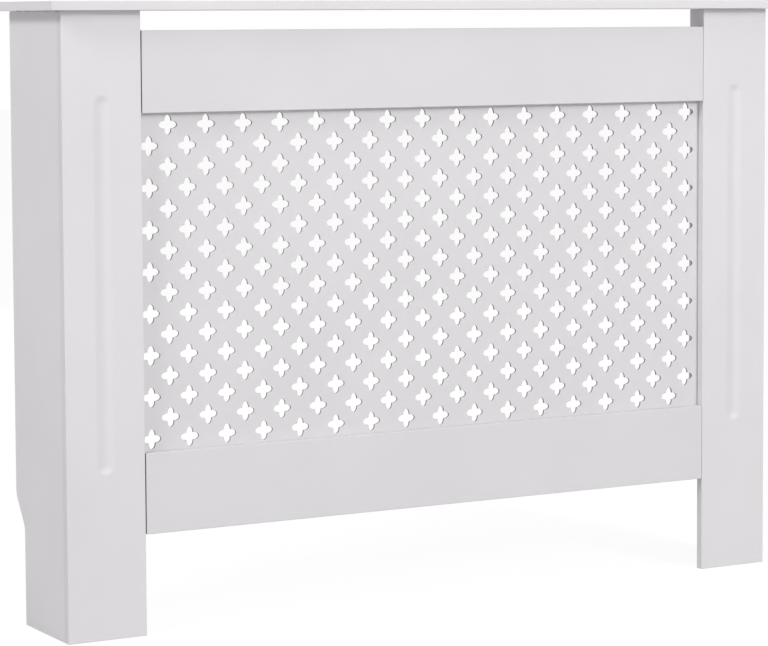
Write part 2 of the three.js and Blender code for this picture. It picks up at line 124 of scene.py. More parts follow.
DOWEL_CHAMFER = 0.8 * MM
DOWEL_GROOVES = 14
DOWEL_GROOVE_SPACING = 3  # sides of the dowel from one groove to the next
DOWEL_GROOVE_DEPTH = 0.18 * MM

BRACKET_ROUNDING = 0.25 * MM
BRACKET_SEGMENTS = 2
BRACKET_ANGLE = 50  # degrees, as for the arrises

# ---- Colours (sRGB, 0 to 255) ----

PAINT_COLOUR = (227, 224, 227)
GRILLE_COLOUR = (222, 219, 222)
RAIL_COLOUR = (223, 220, 223)
EDGE_COLOUR = (220, 217, 220)
# painted shade: dark grey for the shade inside the grille's holes
HOLE_WALL_SHADE_COLOUR = (146, 143, 145)
# painted shade: dark brown-grey on the rails' ends, so that the open joint line by each stile looks
# shaded
RAIL_END_SHADE_COLOUR = (140, 134, 130)
BEECH_COLOUR = (206, 172, 124)
BEECH_GRAIN_COLOUR = (176, 136, 90)
ZINC_COLOUR = (186, 189, 194)
STEEL_COLOUR = (206, 208, 212)

# ---- Finishes: widths and heights of their textures, shades over their colours, roughness ----

NOISE_RANGE = (0.3, 0.7)  # where most values of a noise texture lie

PAINT_GLOSS = 0.35
PAINT_DRIFT = 160 * MM  # slow drifts of tone
PAINT_SHADES = (0.975, 1.015)
PAINT_SHEEN = 35 * MM  # patches of duller and of glossier lacquer
PAINT_SHEEN_SPREAD = 0.05
PAINT_WAVE = 50 * MM  # waves that the sanding left
PAINT_WAVE_HEIGHT = 0.12 * MM

FIBRE = 0.4 * MM
FIBRE_STRETCH = (1, 3, 1)
FIBRE_SHADES = (0.85, 1.15)
FIBRE_HEIGHT = 0.05 * MM
FIBRE_ROUGHNESS = 0.85

BEECH_RAY = 0.7 * MM
BEECH_RAY_STRETCH = (8, 1, 1)
BEECH_RAY_HEIGHT = 0.05 * MM
BEECH_ROUGHNESS = 0.65

ZINC_MOTTLE = 2.5 * MM
ZINC_SHADES = (0.85, 1.0)
ZINC_ROUGHNESS = (0.38, 0.52)
ZINC_GRAIN = 0.3 * MM
ZINC_GRAIN_HEIGHT = 0.015 * MM

STEEL_PATCH = 8 * MM
STEEL_SHADES = (0.88, 1.0)
STEEL_BRUSH = 0.25 * MM
STEEL_BRUSH_HEIGHT = 0.01 * MM
STEEL_ROUGHNESS = (0.24, 0.4)


def linear(rgb):
    """An sRGB colour as the linear one, with alpha, that a shader takes."""

    def channel(value):
        c = value / 255
        return c / 12.92 if c <= 0.04045 else ((c + 0.055) / 1.055) ** 2.4

    return tuple(channel(v) for v in rgb) + (1.0,)


def shade(rgb, factor):
    return tuple(v * factor for v in linear(rgb)[:3]) + (1.0,)


def shades(rgb, factors):
    return [shade(rgb, factor) for factor in factors]


# ---- Node helpers ----


class Nodes:
    """A material's node tree, with short calls to add and link nodes."""

    def __init__(self, name):
        self.material = bpy.data.materials.new(name)
        self.material.use_nodes = True
        self.tree = self.material.node_tree
        self.tree.nodes.clear()
        output = self.tree.nodes.new("ShaderNodeOutputMaterial")
        self.shader = self.tree.nodes.new("ShaderNodeBsdfPrincipled")
        self.link(self.shader.outputs["BSDF"], output.inputs["Surface"])
        self.coordinates = self.tree.nodes.new("ShaderNodeTexCoord").outputs["Object"]

    def link(self, source, target):
        self.tree.links.new(source, target)

    def noise(self, size, detail=2.0, roughness=0.5, stretch=(1, 1, 1)):
        """Noise whose features are about `size` metres wide."""
        mapping = self.tree.nodes.new("ShaderNodeMapping")
        mapping.inputs["Scale"].default_value = [1 / (size * s) for s in stretch]
        self.link(self.coordinates, mapping.inputs["Vector"])
        node = self.tree.nodes.new("ShaderNodeTexNoise")
        node.inputs["Scale"].default_value = 1.0
        node.inputs["Detail"].default_value = detail
        node.inputs["Roughness"].default_value = roughness
        self.link(mapping.outputs["Vector"], node.inputs["Vector"])
        return node.outputs["Fac"]

    def spread(self, noise, low, high):
        """The usual range of a noise stretched or squeezed to another one."""
        node = self.tree.nodes.new("ShaderNodeMapRange")
        node.inputs["From Min"].default_value, node.inputs["From Max"].default_value = NOISE_RANGE
        node.inputs["To Min"].default_value = low
        node.inputs["To Max"].default_value = high
        self.link(noise, node.inputs["Value"])
        return node.outputs["Result"]

    def colours(self, noise, first, second):
        """A colour that drifts between two with a noise."""
        node = self.tree.nodes.new("ShaderNodeMix")
        node.data_type = "RGBA"
        first_input, second_input = [s for s in node.inputs if s.type == "RGBA"]
        first_input.default_value = first
        second_input.default_value = second
        self.link(self.spread(noise, 0, 1), node.inputs["Factor"])
        return next(s for s in node.outputs if s.type == "RGBA")

    def bump(self, height, distance, below=None):
        """A normal roughened by a height, over another roughened normal where one is given."""
        node = self.tree.nodes.new("ShaderNodeBump")
        node.inputs["Distance"].default_value = distance
        self.link(height, node.inputs["Height"])
        if below is not None:
            self.link(below, node.inputs["Normal"])
        return node.outputs["Normal"]

    def set(self, name, value):
        if isinstance(value, bpy.types.NodeSocket):
            self.link(value, self.shader.inputs[name])
        else:
            self.shader.inputs[name].default_value = value


# ---- Materials ----


def satin_paint(name, colour, roughness, stipple_size, stipple_height):
    """White lacquer sprayed on board: faint drifts of tone, uneven sheen and a fine orange peel."""
    nodes = Nodes(name)
    drift = nodes.noise(PAINT_DRIFT, detail=3.0)
    nodes.set("Base Color", nodes.colours(drift, *shades(colour, PAINT_SHADES)))
    nodes.set("Specular IOR Level", PAINT_GLOSS)
    sheen = nodes.noise(PAINT_SHEEN, detail=4.0)
    dullest, glossiest = roughness + PAINT_SHEEN_SPREAD, roughness - PAINT_SHEEN_SPREAD
    nodes.set("Roughness", nodes.spread(sheen, glossiest, dullest))
    waves = nodes.bump(nodes.noise(PAINT_WAVE, detail=1.0), PAINT_WAVE_HEIGHT)
    stipple = nodes.noise(stipple_size, detail=3.0, roughness=0.6)
    nodes.set("Normal", nodes.bump(stipple, stipple_height, waves))
    return nodes.material


def painted_shade_edge(name, colour):
    """Dull, dark finish with a short fibre texture: painted shade, for the hole walls and the rails'
    ends.
    """
    nodes = Nodes(name)
    fibres = nodes.noise(FIBRE, detail=3.0, stretch=FIBRE_STRETCH)
    nodes.set("Base Color", nodes.colours(fibres, *shades(colour, FIBRE_SHADES)))
    nodes.set("Roughness", FIBRE_ROUGHNESS)
    nodes.set("Normal", nodes.bump(fibres, FIBRE_HEIGHT))
    return nodes.material


def beech(name):
    """Turned beech: pale wood with fine darker rays along the dowel."""
    nodes = Nodes(name)
    rays = nodes.noise(BEECH_RAY, detail=4.0, stretch=BEECH_RAY_STRETCH)
    nodes.set("Base Color", nodes.colours(rays, linear(BEECH_COLOUR), linear(BEECH_GRAIN_COLOUR)))
    nodes.set("Roughness", BEECH_ROUGHNESS)
    nodes.set("Normal", nodes.bump(rays, BEECH_RAY_HEIGHT))
    return nodes.material


def die_cast_zinc(name):
    """Bare casting: mottled grey with a fine grain."""
    nodes = Nodes(name)
    mottle = nodes.noise(ZINC_MOTTLE, detail=3.0)
    nodes.set("Base Color", nodes.colours(mottle, *shades(ZINC_COLOUR, ZINC_SHADES)))
    nodes.set("Metallic", 1.0)
    nodes.set("Roughness", nodes.spread(mottle, *ZINC_ROUGHNESS))
    nodes.set("Normal", nodes.bump(nodes.noise(ZINC_GRAIN), ZINC_GRAIN_HEIGHT))
    return nodes.material


def plated_steel(name, brush_stretch):
    """Zinc-plated steel, brushed along the stretched axis."""
    nodes = Nodes(name)
    patches = nodes.noise(STEEL_PATCH)
    nodes.set("Base Color", nodes.colours(patches, *shades(STEEL_COLOUR, STEEL_SHADES)))
    nodes.set("Metallic", 1.0)
    brush = nodes.noise(STEEL_BRUSH, detail=3.0, stretch=brush_stretch)
    nodes.set("Roughness", nodes.spread(brush, *STEEL_ROUGHNESS))
    nodes.set("Normal", nodes.bump(brush, STEEL_BRUSH_HEIGHT))
    return nodes.material


def board_paint(name, colour):
    return satin_paint(name, colour, roughness=0.56, stipple_size=0.9 * MM, stipple_height=0.012 * MM)


PAINT = board_paint("satin_board_paint", PAINT_COLOUR)
RAIL_PAINT = board_paint("satin_rail_paint", RAIL_COLOUR)
EDGE_PAINT = satin_paint(
    "satin_edge_paint", EDGE_COLOUR, roughness=0.58, stipple_size=0.6 * MM, stipple_height=0.03 * MM
)
GRILLE_PAINT = satin_paint(
    "satin_grille_paint", GRILLE_COLOUR, roughness=0.5, stipple_size=1.6 * MM, stipple_height=0.03 * MM
)
# painted shade on the hole walls: dark grey in place of the shade inside the holes
SHADED_HOLE_WALL = painted_shade_edge("painted_shade_hole_wall", HOLE_WALL_SHADE_COLOUR)
# painted shade on the rails' ends, for the dark joint line
SHADED_RAIL_END = painted_shade_edge("painted_shade_rail_end", RAIL_END_SHADE_COLOUR)
BEECH = beech("beech_dowel_wood")
ZINC = die_cast_zinc("die_cast_zinc")
SCREW_STEEL = plated_steel("plated_screw_steel", brush_stretch=(1, 1, 1))
BRACKET_STEEL = plated_steel("brushed_bracket_steel", brush_stretch=(1, 1, 12))

# ---- Mesh helpers ----


def new_object(name, data):
    obj = bpy.data.objects.new(name, data)
    bpy.context.scene.collection.objects.link(obj)
    return obj


def mesh_from(name, vertices, faces):
    mesh = bpy.data.meshes.new(name)
    mesh.from_pydata(vertices, [], faces)
    mesh.update()
    return mesh


def clean_mesh(mesh):
    """Drops vertices that no face uses and turns every face outward."""
    work = bmesh.new()
    work.from_mesh(mesh)
    loose = [v for v in work.verts if not v.link_faces]
    bmesh.ops.delete(work, geom=loose, context="VERTS")
    bmesh.ops.recalc_face_normals(work, faces=work.faces)
    work.to_mesh(mesh)
    work.free()
    return mesh


def apply_modifiers(obj):
    """Gives an object the mesh that its modifiers make."""
    graph = bpy.context.evaluated_depsgraph_get()
    graph.update()
    mesh = bpy.data.meshes.new_from_object(obj.evaluated_get(graph))
    obj.modifiers.clear()
    old = obj.data
    obj.data = mesh
    bpy.data.meshes.remove(old)


def add_rounding(obj, width, segments, angle):
    modifier = obj.modifiers.new("rounding", "BEVEL")
    modifier.width = width
    modifier.segments = segments
    modifier.limit_method = "ANGLE"
    modifier.angle_limit = math.radians(angle)
    return modifier


def cut_away(obj, cutter):
    """Takes a cutter's solid away from a piece, and the cutter with it."""
    modifier = obj.modifiers.new("cut", "BOOLEAN")
    modifier.operation = "DIFFERENCE"
    modifier.solver = "EXACT"
    modifier.use_self = True
    modifier.object = cutter
    apply_modifiers(obj)
    bpy.data.meshes.remove(cutter.data)


def shade_evenly(obj):
    """Smooth shading across small angles, with flat faces that stay flat up to their edges."""
    for polygon in obj.data.polygons:
        polygon.use_smooth = True
    obj.data.set_sharp_from_angle(angle=math.radians(SMOOTH_ANGLE))
    modifier = obj.modifiers.new("even_faces", "WEIGHTED_NORMAL")
    modifier.keep_sharp = True


def paint_edges(obj, thickness_axis):
    """The second material goes on the faces that look along the board rather than across it."""
    for polygon in obj.data.polygons:
        is_edge = abs(polygon.normal[thickness_axis]) < FACE_COSINE
        polygon.material_index = 1 if is_edge else 0


def dress(obj, node, materials, body="cabinet"):
    """Makes the piece stand for a CAD node, on its body and with its finish."""
    for material in materials:
        obj.data.materials.append(material)
    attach(obj, body)
    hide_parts(node)


def nodes_named(prefix):
    """Names of the CAD nodes that begin with a prefix, in order."""
    return [name for name in sorted(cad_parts) if name.startswith(prefix)]


def unit(axis):
    return Vector([float(k == axis) for k in range(3)])


def longest_axis(low, high):
    return max(range(3), key=lambda k: high[k] - low[k])


def band(first, second, count):
    """Faces between two closed rows of `count` vertices each, by the index each row starts at."""
    faces = []
    for k in range(count):
        after = (k + 1) % count
        faces.append([first + k, first + after, second + after, second + k])
    return faces


def prism(name, outline, axis, start, end):
    """A solid with an outline, given in the two other axes, between two planes across the axis."""
    others = [k for k in range(3) if k != axis]
    vertices = []
    for level in (start, end):
        for point in outline:
            corner = [level] * 3
            corner[others[0]], corner[others[1]] = point
            vertices.append(corner)
    count = len(outline)
    faces = [list(range(count)), list(range(count, 2 * count)), *band(0, count, count)]
    return new_object(name, clean_mesh(mesh_from(name, vertices, faces)))


def block(name, low, high):
    outline = [(low.y, low.z), (high.y, low.z), (high.y, high.z), (low.y, high.z)]
    return prism(name, outline, X, low.x, high.x)


def quarter_turns(points):
    """An outline from one quarter of its points, turned about the centre into all four."""
    outline = []
    for cosine, sine in ((1, 0), (0, 1), (-1, 0), (0, -1)):
        outline += [(cosine * x - sine * y, sine * x + cosine * y) for x, y in points]
    return outline


def turned(name, profile, sides=TURNED_SIDES, wobble=lambda k: 1.0):
    """A solid of revolution about +Z from (radius, height) points, first and last on the axis.

    `wobble` scales the radius from side to side.
    """
    vertices = [(0, 0, profile[0][1])]
    rings = profile[1:-1]
    for radius, height in rings:
        for k in range(sides):
            angle = 2 * math.pi * k / sides
            reach = radius * wobble(k)
            vertices.append((reach * math.cos(angle), reach * math.sin(angle), height))
    vertices.append((0, 0, profile[-1][1]))
    last = len(vertices) - 1
    faces = []
    for k in range(sides):
        after = (k + 1) % sides
        faces.append((0, 1 + after, 1 + k))
        faces.append((last, last - sides + k, last - sides + after))
        for ring in range(len(rings) - 1):
            lower, upper = 1 + ring * sides, 1 + (ring + 1) * sides
            faces.append((lower + k, lower + after, upper + after, upper + k))
    return new_object(name, clean_mesh(mesh_from(name, vertices, faces)))


def rod(name, radius, start, end):
    """A round rod about +Z between two heights."""
    return turned(name, [(0, start), (radius, start), (radius, end), (0, end)])


def placement(origin, z_direction, x_direction):
    """A matrix that puts a part's own Z and X along two directions at a point."""
    z_axis, x_axis = Vector(z_direction), Vector(x_direction)
    y_axis = z_axis.cross(x_axis)
    turn = Matrix((x_axis, y_axis, z_axis)).transposed().to_4x4()
    return Matrix.Translation(origin) @ turn


def placed_copy(name, mesh, matrix):
    """A copy with its place in the mesh, so that the object itself stays at the origin."""
    copy = mesh.copy()
    copy.name = name
    copy.transform(matrix)
    return new_object(name, copy)


# ---- Bores ----


def overlaps(first, second):
    """Whether two boxes, each a lowest and a highest corner, share some room."""
    return all(first[0][k] < second[1][k] and second[0][k] < first[1][k] for k in range(3))


def bore_radius(name, in_side):
    """Radius of the bore that a node needs in a board, or None for a node that needs none."""
    radii = {
        "side_dowel": DOWEL_BORE,
        "rail_dowel": DOWEL_BORE,
        "grille_screw": PILOT_BORE,
        "bracket_screw": PILOT_BORE,
        "cam_lock": CAM_BORE,
        "cam_bolt": BOLT_SHANK_BORE if in_side else BOLT_THREAD_BORE,
    }
    return next((radius for prefix, radius in radii.items() if name.startswith(prefix)), None)


def drill(obj, piece_box, in_side=False):
    """Bores for every dowel, bolt, lock and screw that enters a board."""
    cutters = bmesh.new()
    for name in sorted(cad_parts):
        low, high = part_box(name)
        radius = bore_radius(name, in_side)
        if radius is None or not overlaps((low, high), piece_box):
            continue
        axis = X if name.startswith("cam_lock") else longest_axis(low, high)
        length = high[axis] - low[axis] + 2 * BORE_END_GAP
        turn = unit(Z).rotation_difference(unit(axis))
        place = Matrix.Translation((low + high) / 2) @ turn.to_matrix().to_4x4()
        bmesh.ops.create_cone(
            cutters,
            cap_ends=True,
            segments=BORE_SIDES,
            radius1=radius,
            radius2=radius,
            depth=length,
            matrix=place,
        )
    mesh = bpy.data.meshes.new("bores")
    cutters.to_mesh(mesh)
    cutters.free()
    cut_away(obj, new_object("bores", mesh))


# ---- Boards ----


def finish_board(obj, node, thickness_axis, materials, in_side=False):
    """Arrises, bores, shading and paint of a board that stands for a CAD node.

    The first material is for the board's two faces, the second for its edges.
    """
    add_rounding(obj, ARRIS, ARRIS_SEGMENTS, ARRIS_ANGLE)
    apply_modifiers(obj)
    drill(obj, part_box(node), in_side)
    paint_edges(obj, thickness_axis)
    shade_evenly(obj)
    dress(obj, node, materials)


def top_board():
    """The top, whose edges are painted as bright as its face."""
    low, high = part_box("top_panel")
    finish_board(block("shelf_top", low, high), "top_panel", Z, [PAINT, PAINT])


def rail_board(position):
    """A rail whose left end stands a little off the stile and whose right end is tight."""
    node = f"{position}_rail"
    low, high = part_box(node)
    low.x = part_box("front_stile_left")[1].x + RAIL_LEFT_GAP
    high.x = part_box("front_stile_right")[0].x - RAIL_RIGHT_GAP
    rail = block(f"{position}_frame_rail", low, high)
    finish_board(rail, node, Y, [RAIL_PAINT, EDGE_PAINT])
    # the rail's ends get painted shade: dark, so that the open joint line reads as shade
    shaded_end_index = len(rail.data.materials)
    rail.data.materials.append(SHADED_RAIL_END)
    for polygon in rail.data.polygons:
        if abs(polygon.normal.x) > END_COSINE:
            polygon.material_index = shaded_end_index


def fillet(before, corner, after):
    """A quadratic curve that rounds the corner of an outline between its two neighbours."""
    corner = Vector(corner)
    start = corner + (Vector(before) - corner).normalized() * NOTCH_FILLET
    end = corner + (Vector(after) - corner).normalized() * NOTCH_FILLET
    points = []
    for k in range(FILLET_STEPS + 1):
        t = k / FILLET_STEPS
        points.append((1 - t) ** 2 * start + 2 * t * (1 - t) * corner + t * t * end)
    return [tuple(p) for p in points]


def side_board(side):
    """A side with a skirting notch: upright, then slanting out to the rear edge."""
    node = f"side_panel_{side}"
    low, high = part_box(node)
    notch_foot = (high.y - NOTCH_DEPTH, low.z)
    notch_corner = (high.y - NOTCH_DEPTH, low.z + NOTCH_HEIGHT)
    slope_top = (high.y, low.z + NOTCH_HEIGHT + NOTCH_SLOPE)
    rear_top = (high.y, high.z)
    outline = [(low.y, low.z), notch_foot]
    outline += fillet(notch_foot, notch_corner, slope_top)
    outline += fillet(notch_corner, slope_top, rear_top)
    outline += [rear_top, (low.y, high.z)]
    board = prism(f"side_board_{side}", outline, X, low.x, high.x)
    finish_board(board, node, X, [PAINT, EDGE_PAINT], in_side=True)


# ---- Stiles ----


def smoothstep(t):
    """From 0 to 1 with level ends."""
    t = min(max(t, 0.0), 1.0)
    return t * t * (3 - 2 * t)


def stations(low, high, step):
    """Evenly spaced values from one to another, about a step apart."""
    count = max(1, round((high - low) / step))
    return [low + (high - low) * k / count for k in range(count + 1)]


def flute_depth(x, z, middle_x, low_z, high_z):
    """Depth of a round-ended flute at a point of the stile's face."""
    nearest_z = min(max(z, low_z + FLUTE_RADIUS), high_z - FLUTE_RADIUS)
    distance = math.hypot(x - middle_x, z - nearest_z)
    return FLUTE_DEPTH * smoothstep((FLUTE_RADIUS - distance) / FLUTE_WALL)


def fluted_slab(name, low, high, flute_low, flute_high):
    """A board whose front face is a grid that dips into the flute; the rest is plain."""
    middle_x = (low.x + high.x) / 2
    left, right = middle_x - FLUTE_RADIUS, middle_x + FLUTE_RADIUS
    xs = [low.x, *stations(left, right, FLUTE_STEP), high.x]
    zs = [low.z]
    zs += stations(flute_low, flute_low + FLUTE_RADIUS, FLUTE_STEP)
    zs += stations(flute_high - FLUTE_RADIUS, flute_high, FLUTE_STEP)
    zs += [high.z]
    columns, rows = len(xs), len(zs)
    vertices = []
    for z in zs:
        for x in xs:
            vertices.append((x, low.y + flute_depth(x, z, middle_x, flute_low, flute_high), z))
    faces = []
    for j in range(rows - 1):
        for i in range(columns - 1):
            corner = j * columns + i
            faces.append((corner, corner + 1, corner + columns + 1, corner + columns))
    rim = list(range(columns))
    rim += [j * columns + columns - 1 for j in range(1, rows)]
    rim += [(rows - 1) * columns + i for i in range(columns - 2, -1, -1)]
    rim += [j * columns for j in range(rows - 2, 0, -1)]
    start = len(vertices)
    vertices += [(vertices[k][0], high.y, vertices[k][2]) for k in rim]
    for k in range(len(rim)):
        after = (k + 1) % len(rim)
        faces.append((rim[k], rim[after], start + after, start + k))
    faces.append(list(range(start, start + len(rim))))
    return new_object(name, clean_mesh(mesh_from(name, vertices, faces)))


def stile_board(side):
    """A stile; its edge toward the grille has the paint of its face."""
    node = f"front_stile_{side}"
    low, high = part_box(node)
    flute_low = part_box("lower_rail")[1].z - FLUTE_MARGIN
    flute_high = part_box("upper_rail")[0].z + FLUTE_MARGIN
    stile = fluted_slab(f"fluted_stile_{side}", low, high, flute_low, flute_high)
    finish_board(stile, node, Y, [PAINT, EDGE_PAINT])
    inner_x = high.x if side == "left" else low.x
    for polygon in stile.data.polygons:
        if abs(polygon.center.x - inner_x) < 2 * ARRIS:
            polygon.material_index = 0


# ---- Grille ----


def hole_outline():
    """One quatrefoil hole about its centre, as (x, z), anticlockwise: four half ellipses."""
    lobe = []
    for k in range(LOBE_STEPS + 1):
        angle = math.pi * (k / LOBE_STEPS - 0.5)
        x = LOBE_OFFSET + LOBE_LENGTH * math.cos(angle)
        lobe.append((x, LOBE_HALF_WIDTH * math.sin(angle)))
    return quarter_turns(lobe)


def circle_outline(radius, sides):
    angles = [2 * math.pi * k / sides for k in range(sides)]
    return [(radius * math.cos(a), radius * math.sin(a)) for a in angles]


def grown(outline, amount):
    """The outline moved outward along its normals."""
    result = []
    for k, (x, z) in enumerate(outline):
        before, after = outline[k - 1], outline[(k + 1) % len(outline)]
        dx, dz = after[0] - before[0], after[1] - before[1]
        length = math.hypot(dx, dz)
        result.append((x + amount * dz / length, z - amount * dx / length))
    return result


def hole_centres(middle_z):
    """A staggered field: rows and columns half a pitch apart, every second place left plain."""
    for row in range(HOLE_ROWS):
        for column in range(HOLE_COLUMNS):
            if (row + column) % 2 == 1:
                x = FIELD_SHIFT + (column - (HOLE_COLUMNS - 1) / 2) * HOLE_HALF_PITCH
                z = middle_z + ((HOLE_ROWS - 1) / 2 - row) * HOLE_HALF_PITCH
                yield x, z


def inside(outline, x, z):
    """Whether a point lies in an outline: a line from it crosses the outline an odd number of times."""
    crossings = 0
    for k, (x1, z1) in enumerate(outline):
        x0, z0 = outline[k - 1]
        if (z0 > z) != (z1 > z) and x < (x1 - x0) * (z - z0) / (z1 - z0) + x0:
            crossings += 1
    return crossings % 2 == 1


def sheet_face(border, holes):
    """Triangles of a flat sheet with holes, over the points of the border and then of each hole."""
    points = [Vector(p) for p in border]
    edges = [(k, (k + 1) % len(border)) for k in range(len(border))]
    owner = [None] * len(border)
    for number, hole in enumerate(holes):
        start = len(points)
        points += [Vector(p) for p in hole]
        edges += [(start + k, start + (k + 1) % len(hole)) for k in range(len(hole))]
        owner += [number] * len(hole)
    inner_triangles = 1
    cdt = delaunay_2d_cdt(points, edges, [], inner_triangles, TRIANGULATION_TOLERANCE)
    _, _, found, originals, _, _ = cdt
    triangles = []
    for face in found:
        corners = [originals[k][0] for k in face]
        owners = {owner[k] for k in corners}
        middle = sum((points[k] for k in corners), Vector((0, 0))) / 3
        in_one_hole = len(owners) == 1 and None not in owners
        if in_one_hole and inside(holes[owners.pop()], middle.x, middle.y):
            continue
        triangles.append(corners)
    return triangles


def grille_screw_centres():
    boxes = [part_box(name) for name in nodes_named("grille_screw")]
    return [((low.x + high.x) / 2, (low.z + high.z) / 2) for low, high in boxes]


def grille_levels(low_y, high_y):
    """(Y, how far a hole is widened there): a rounded edge in front, then straight to the back."""
    levels = []
    for degrees in HOLE_ROUNDING_ANGLES:
        angle = math.radians(degrees)
        y = low_y + HOLE_ROUNDING * (1 - math.cos(angle))
        levels.append((y, HOLE_ROUNDING * (1 - math.sin(angle))))
    return [*levels, (high_y, 0.0)]


def grille_holes(middle_z):
    """(outline, centre) of every lobed hole and then of every screw hole."""
    holes = [(hole_outline(), centre) for centre in hole_centres(middle_z)]
    screw_hole = circle_outline(SCREW_HOLE_RADIUS, SCREW_HOLE_SIDES)
    return holes + [(screw_hole, centre) for centre in grille_screw_centres()]


def hole_bands(shapes, starts, first):
    """Faces round the holes between every two levels, and whether each is part of a straight wall."""
    faces, straight = [], []
    for outline, _ in shapes:
        for level, next_start in enumerate(starts[1:]):
            around = band(starts[level] + first, next_start + first, len(outline))
            faces += around
            straight += [next_start == starts[-1]] * len(around)
        first += len(outline)
    return faces, straight


def grille_sheet():
    """The sheet's faces come from flat triangulations; its hole walls are bands between levels."""
    low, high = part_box("grille_panel")
    border = [(low.x, low.z), (high.x, low.z), (high.x, high.z), (low.x, high.z)]
    shapes = grille_holes((low.z + high.z) / 2)
    vertices, starts, layers = [], [], []
    for y, growth in grille_levels(low.y, high.y):
        holes = []
        for outline, (cx, cz) in shapes:
            holes.append([(x + cx, z + cz) for x, z in grown(outline, growth)])
        starts.append(len(vertices))
        layers.append(holes)
        vertices += [(x, y, z) for loop in [border, *holes] for x, z in loop]
    front, back = starts[0], starts[-1]
    faces = [[front + k for k in t] for t in sheet_face(border, layers[0])]
    faces += [[back + k for k in reversed(t)] for t in sheet_face(border, layers[-1])]
    faces += band(back, front, len(border))
    flat_count = len(faces)
    around_holes, straight = hole_bands(shapes, starts, len(border))
    mesh = mesh_from("perforated_sheet", vertices, faces + around_holes)
    for polygon in mesh.polygons:
        in_hole = polygon.index >= flat_count
        polygon.use_smooth = in_hole
        # the straight hole walls get painted shade, dark grey; the rounded front edges keep the grille's
        # paint
        polygon.material_index = 1 if in_hole and straight[polygon.index - flat_count] else 0
    return clean_mesh(mesh)


def grille_panel():
    grille = new_object("perforated_grille", grille_sheet())
    dress(grille, "grille_panel", [GRILLE_PAINT, SHADED_HOLE_WALL])


# ---- Cam locks ----


def cam_lock_mesh():
    """Face at Z = 0 with its body below; the bolt that it locks lies along +X and its entry along -X."""
    low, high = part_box("cam_lock_left_top_front")
    height = high.x - low.x
    radius = (high.z - low.z) / 2
    profile = [(0, -height), (radius - CAM_RIM, -height), (radius, CAM_RIM - height)]
    profile += [(radius, -CAM_RIM), (radius - CAM_RIM, 0), (0, 0)]
    cam = turned("cam", profile, CAM_SIDES)
    cut_cross(cam, DRIVER_SLOT, 0.0)
    cavity_low, cavity_high = -CAM_AXIS_DEPTH - CAM_CAVITY_HALF, -CAM_AXIS_DEPTH + CAM_CAVITY_HALF
    cut_away(cam, rod("cavity", CAM_CAVITY_RADIUS, cavity_low, cavity_high))
    cut_away(cam, neck_slot(CAM_CUTTER_REACH * radius))
    entry = rod("entry", CAM_ENTRY_RADIUS, 0, CAM_CUTTER_REACH * radius)
    entry.data.transform(placement((0, 0, -CAM_AXIS_DEPTH), (-1, 0, 0), (0, 0, 1)))
    cut_away(cam, entry)
    return cam


def neck_slot(reach):
    """Half a turn of slot in the cam's wall for the bolt's neck, as a sector about the cam's axis."""
    start, end = -math.pi, math.asin(CAM_NECK_HALF / CAM_CAVITY_RADIUS)
    angles = [start + (end - start) * k / TURNED_SIDES for k in range(TURNED_SIDES + 1)]
    outline = [(0.0, 0.0)] + [(reach * math.cos(a), reach * math.sin(a)) for a in angles]
    low, high = -CAM_AXIS_DEPTH - CAM_NECK_HALF, -CAM_AXIS_DEPTH + CAM_NECK_HALF
    return prism("neck_slot", outline, Z, low, high)


def cut_cross(obj, arm, face_z):
    """A cross-shaped driver recess sunk from a face; an arm is its length, width and depth."""
    length, width, depth = arm
    arm_end = [(length / 2, -width / 2), (length / 2, width / 2), (width / 2, width / 2)]
    outline = quarter_turns(arm_end)
    cut_away(obj, prism("driver_cross", outline, Z, face_z - depth, face_z + depth))


def cam_locks():
    """Every cam rides on its own body and faces into the cabinet, locked: its entry is turned away."""
    master = cam_lock_mesh()
    for node in nodes_named("cam_lock"):
        low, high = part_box(node)
        inward = 1.0 if "_left_" in node else -1.0
        face_x = high.x if inward > 0 else low.x
        centre = Vector((face_x, (low.y + high.y) / 2, (low.z + high.z) / 2))
        bolt_from = (0, 0, 1) if "_top_" in node else (0, -1, 0)
        matrix = placement(centre, (inward, 0, 0), bolt_from)
        cam = placed_copy(f"turned_{node}", master.data, matrix)
        shade_evenly(cam)
        dress(cam, node, [ZINC], body=node)
    bpy.data.meshes.remove(master.data)


# ---- Screws, bolts and dowels ----


def thread(radius, start, end):
    """Profile points of a thread as ridges, from one height up to another."""
    ridges = max(1, round((end - start) / THREAD_PITCH))
    pitch = (end - start) / ridges
    points = []
    for k in range(ridges):
        foot = start + k * pitch
        points.append((radius * THREAD_CORE, foot + THREAD_FOOT * pitch))
        points.append((radius, foot + pitch / 2))
        points.append((radius * THREAD_CORE, foot + (1 - THREAD_FOOT) * pitch))
    return points


def screw_mesh(length):
    """A pan-head screw: the head's underside is at Z = 0 and the threaded shank runs down."""
    profile = [(0, -length), (SCREW_POINT * SCREW_SHANK, SCREW_TIP / 2 - length)]
    profile += thread(SCREW_SHANK, SCREW_TIP - length, -THREAD_PITCH)
    profile += [(SCREW_SHANK, -THREAD_NECK * THREAD_PITCH), (SCREW_SHANK, 0), (SCREW_HEAD, 0)]
    rim = SCREW_RIM * SCREW_HEAD_HEIGHT
    for degrees in SCREW_DOME_ANGLES:
        angle = math.radians(degrees)
        rise = (SCREW_HEAD_HEIGHT - rim) * math.sin(angle)
        profile.append((SCREW_HEAD * math.cos(angle) ** SCREW_DOME_FULLNESS, rim + rise))
    profile.append((0, SCREW_HEAD_HEIGHT))
    screw = turned("screw", profile)
    cut_cross(screw, SCREW_RECESS, SCREW_HEAD_HEIGHT)
    return screw


